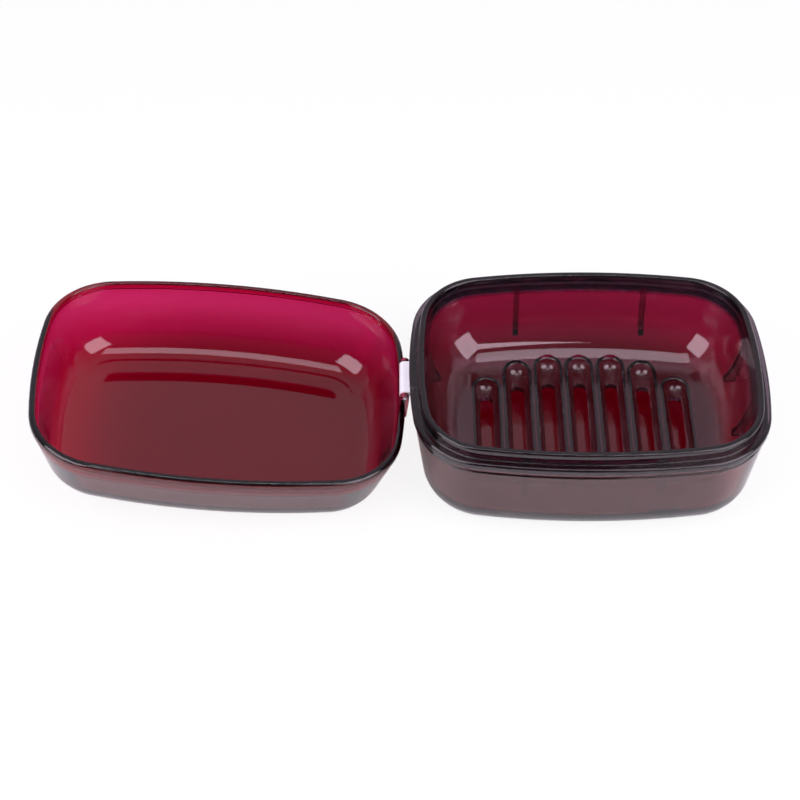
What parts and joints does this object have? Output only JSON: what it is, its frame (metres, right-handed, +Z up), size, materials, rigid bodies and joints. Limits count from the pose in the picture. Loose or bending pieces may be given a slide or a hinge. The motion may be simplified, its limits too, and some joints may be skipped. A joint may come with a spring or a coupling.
{
  "type": "travel soap box",
  "caption": "Translucent hinged travel soap box: deep outer shell, lift-out slotted drain tray and a lid that turns over on an end hinge.",
  "frame": {"origin": "centre of the outer shell's flat underside", "axes": "+X along the box's length away from the hinge, +Y to the back, +Z up out of the tray"},
  "size_m": [0.2357, 0.0876, 0.0403],
  "materials": {
    "ruby_plastic": "polished translucent",
    "smoke_plastic": "polished translucent",
    "white_plastic": "smooth",
    "steel": "drawn"
  },
  "bodies": {
    "shell": {"outer_shell": "ruby_plastic"},
    "tray": {"drain_tray": "smoke_plastic", "hinge_leaf": "white_plastic", "hinge_pin": "steel"},
    "lid": {"lid": "ruby_plastic"}
  },
  "joints": [
    {"name": "tray_lift", "type": "slide", "parent": "shell", "child": "tray", "axis": [0, 0, 1], "range_m": [0, 0.045]},
    {"name": "lid_hinge", "type": "hinge", "parent": "tray", "child": "lid", "pos_m": [-0.05895, 0, 0.0308], "axis": [0, 1, 0], "range_deg": [0, 173.5]}
  ]
}
